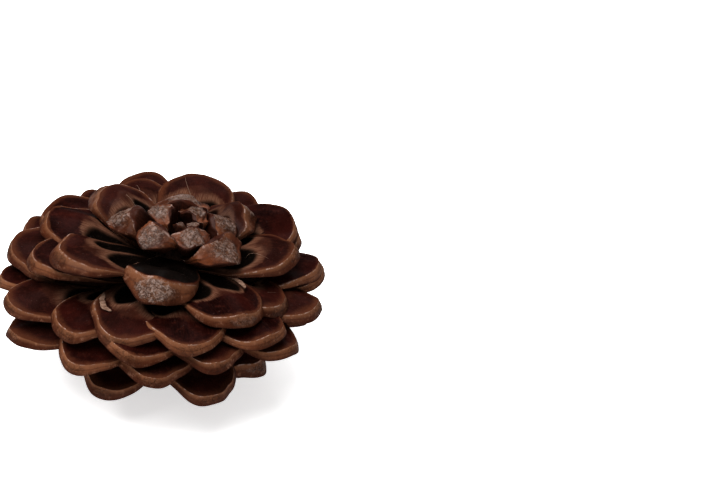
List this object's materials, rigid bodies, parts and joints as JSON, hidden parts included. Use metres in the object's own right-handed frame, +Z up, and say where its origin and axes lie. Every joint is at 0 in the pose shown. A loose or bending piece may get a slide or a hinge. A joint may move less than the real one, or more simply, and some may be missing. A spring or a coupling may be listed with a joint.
{
  "type": "pine cone",
  "caption": "Open, dry stone pine cone: broad thick scales on a spiral round a woody core, small knobbly crown, flat cut stalk to rest on.",
  "frame": {"origin": "middle of the flat cut of the stalk, where the cone rests", "axes": "+Z up along the core to the crown; -Y is the side seen in the picture"},
  "size_m": [0.1104, 0.1146, 0.0625],
  "materials": {
    "cone_wood": "dry, matt to satin, reddish brown with ochre rims"
  },
  "bodies": {
    "root": {"pine_cone": "cone_wood"}
  },
  "joints": []
}
